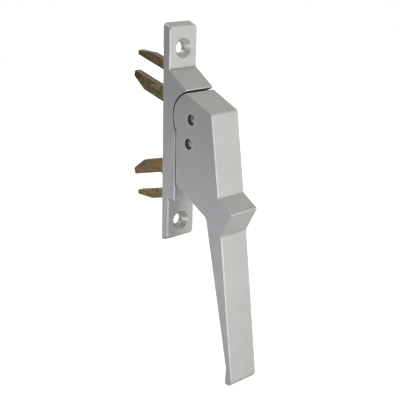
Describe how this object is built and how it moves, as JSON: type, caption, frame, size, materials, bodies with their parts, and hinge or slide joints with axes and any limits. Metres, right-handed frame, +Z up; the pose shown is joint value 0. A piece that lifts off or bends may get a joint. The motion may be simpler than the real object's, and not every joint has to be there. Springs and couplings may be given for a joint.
{
  "type": "espagnolette window handle",
  "caption": "Window handle with a screw plate, a hinged drop lever and swinging forks at the back that move the locking rods up and down.",
  "frame": {"origin": "midway between the two screw holes, on the back face of the base", "axes": "+X to the right seen from the front, +Y to the back into the window frame, +Z up"},
  "size_m": [0.018, 0.0858, 0.1769],
  "materials": {
    "silver": "satin anodised",
    "zinc_steel": "yellow passivated zinc",
    "bright_steel": "bright zinc"
  },
  "bodies": {
    "frame": {"base": "silver", "back_plate": "zinc_steel", "back_plate_screws": "bright_steel", "left_side_plate": "zinc_steel", "right_side_plate": "zinc_steel", "upper_fork_pin": "bright_steel", "lower_fork_pin": "bright_steel", "upper_fork_spacers": "bright_steel", "lower_fork_spacers": "bright_steel"},
    "handle": {"lever": "silver", "pivot_pin": "bright_steel", "drive_pin": "bright_steel"},
    "yoke": {"left_yoke_plate": "zinc_steel", "right_yoke_plate": "zinc_steel", "upper_yoke_pin": "bright_steel", "lower_yoke_pin": "bright_steel"},
    "upper_rod_fork": {"upper_fork": "zinc_steel"},
    "lower_rod_fork": {"lower_fork": "zinc_steel"}
  },
  "joints": [
    {"name": "lever_lift", "type": "hinge", "parent": "frame", "child": "handle", "pos_m": [0, -0.021, 0.0126], "axis": [-1, 0, 0], "range_deg": [0, 50]},
    {"name": "yoke_slide", "type": "slide", "parent": "frame", "child": "yoke", "axis": [0, -1, 0], "range_m": [0, 0.01009]},
    {"name": "upper_fork_swing", "type": "hinge", "parent": "frame", "child": "upper_rod_fork", "pos_m": [0, -0.0063, 0.0237], "axis": [-1, 0, 0], "range_deg": [0, 30.4]},
    {"name": "lower_fork_swing", "type": "hinge", "parent": "frame", "child": "lower_rod_fork", "pos_m": [0, -0.0063, -0.0213], "axis": [1, 0, 0], "range_deg": [0, 30.4]}
  ],
  "couplings": [
    {"joint": "yoke_slide", "follows": "lever_lift", "m_per_rad": 0.01154},
    {"joint": "upper_fork_swing", "follows": "lever_lift", "ratio": 0.60585},
    {"joint": "lower_fork_swing", "follows": "lever_lift", "ratio": 0.60585}
  ]
}
